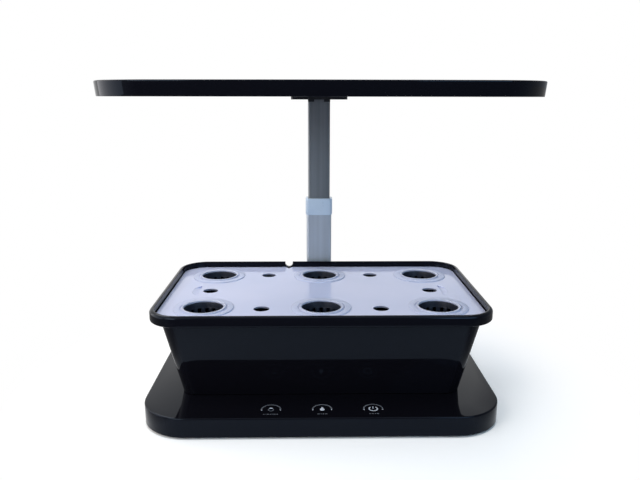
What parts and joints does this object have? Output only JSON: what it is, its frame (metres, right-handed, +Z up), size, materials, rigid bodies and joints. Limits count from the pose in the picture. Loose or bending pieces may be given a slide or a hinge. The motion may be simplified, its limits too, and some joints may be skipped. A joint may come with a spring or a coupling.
{
  "type": "countertop hydroponic garden",
  "caption": "Tabletop hydroponic grower: black water tank with a white planting deck and round net baskets on a flat touch-control base, under a wide lamp on a telescoping mast.",
  "frame": {"origin": "on the supporting surface, below the centre of the base", "axes": "+X to the right as seen from the front, along the lamp's width; +Y to the back; +Z up"},
  "size_m": [0.394, 0.234, 0.2948],
  "materials": {
    "gloss_black": "gloss",
    "satin_black": "satin",
    "socket_black": "matte",
    "rubber": "matte",
    "steel": "satin",
    "circuit": "satin",
    "contact_brass": "satin",
    "mast_aluminium": "satin",
    "collar_grey": "satin",
    "diffuser": "satin",
    "diode_board": "satin",
    "white_diode": "gloss",
    "red_diode": "gloss",
    "deck_white": "gloss",
    "frosted": "satin",
    "basket_black": "satin",
    "pump_plastic": "satin",
    "impeller_grey": "satin",
    "ceramic": "gloss",
    "stem_plastic": "satin",
    "float_orange": "satin",
    "magnet": "satin"
  },
  "bodies": {
    "base": {"base_cover": "gloss_black", "base_plate": "satin_black", "rubber_feet": "rubber", "base_screws": "steel", "control_board": "circuit", "touch_rings": "contact_brass", "board_screws": "steel", "level_sensor": "circuit", "power_socket": "socket_black", "power_contact": "contact_brass", "pump_socket": "socket_black", "pump_contact": "contact_brass", "mast_foot": "satin_black", "mast_foot_screws": "steel", "mast_pin": "steel", "mast_tube": "mast_aluminium", "mast_collar": "collar_grey"},
    "lamp_arm": {"mast_inner_tube": "mast_aluminium", "mast_glide": "satin_black", "lamp_bracket": "satin_black", "bracket_pin": "steel", "bracket_screws": "steel", "lamp_housing": "gloss_black", "lamp_tray": "satin_black", "lamp_screws": "steel", "lamp_diffuser": "diffuser", "led_board": "diode_board", "white_leds": "white_diode", "red_leds": "red_diode", "led_board_screws": "steel"},
    "tank_body": {"tank": "gloss_black", "pump_motor": "pump_plastic", "pump_cover": "pump_plastic", "pump_shaft": "ceramic", "suction_cups": "rubber", "float_stem": "stem_plastic"},
    "deck_body": {"deck": "deck_white"},
    "basket_1": {"pod_collar_1": "frosted", "net_basket_1": "basket_black"},
    "basket_2": {"pod_collar_2": "frosted", "net_basket_2": "basket_black"},
    "basket_3": {"pod_collar_3": "frosted", "net_basket_3": "basket_black"},
    "basket_4": {"pod_collar_4": "frosted", "net_basket_4": "basket_black"},
    "basket_5": {"pod_collar_5": "frosted", "net_basket_5": "basket_black"},
    "basket_6": {"pod_collar_6": "frosted", "net_basket_6": "basket_black"},
    "float_body": {"level_float": "float_orange", "float_magnet": "magnet"},
    "impeller_body": {"pump_impeller": "impeller_grey"}
  },
  "joints": [
    {"name": "mast_slide", "type": "slide", "parent": "base", "child": "lamp_arm", "axis": [0, 0, 1], "range_m": [-0.085, 0.03]},
    {"name": "tank_lift", "type": "slide", "parent": "base", "child": "tank_body", "axis": [0, 0, 1], "range_m": [0, 0.01]},
    {"name": "deck_lift", "type": "slide", "parent": "tank_body", "child": "deck_body", "axis": [0, 0, 1], "range_m": [0, 0.02]},
    {"name": "basket_lift_1", "type": "slide", "parent": "deck_body", "child": "basket_1", "axis": [0, 0, 1], "range_m": [0, 0.045]},
    {"name": "basket_lift_2", "type": "slide", "parent": "deck_body", "child": "basket_2", "axis": [0, 0, 1], "range_m": [0, 0.045]},
    {"name": "basket_lift_3", "type": "slide", "parent": "deck_body", "child": "basket_3", "axis": [0, 0, 1], "range_m": [0, 0.045]},
    {"name": "basket_lift_4", "type": "slide", "parent": "deck_body", "child": "basket_4", "axis": [0, 0, 1], "range_m": [0, 0.045]},
    {"name": "basket_lift_5", "type": "slide", "parent": "deck_body", "child": "basket_5", "axis": [0, 0, 1], "range_m": [0, 0.045]},
    {"name": "basket_lift_6", "type": "slide", "parent": "deck_body", "child": "basket_6", "axis": [0, 0, 1], "range_m": [0, 0.045]},
    {"name": "float_rise", "type": "slide", "parent": "tank_body", "child": "float_body", "axis": [0, 0, 1], "range_m": [0, 0.03]},
    {"name": "impeller_spin", "type": "hinge", "parent": "tank_body", "child": "impeller_body", "pos_m": [-0.05295, 0.011, 0.0357], "axis": [0, 1, 0], "continuous": true}
  ]
}
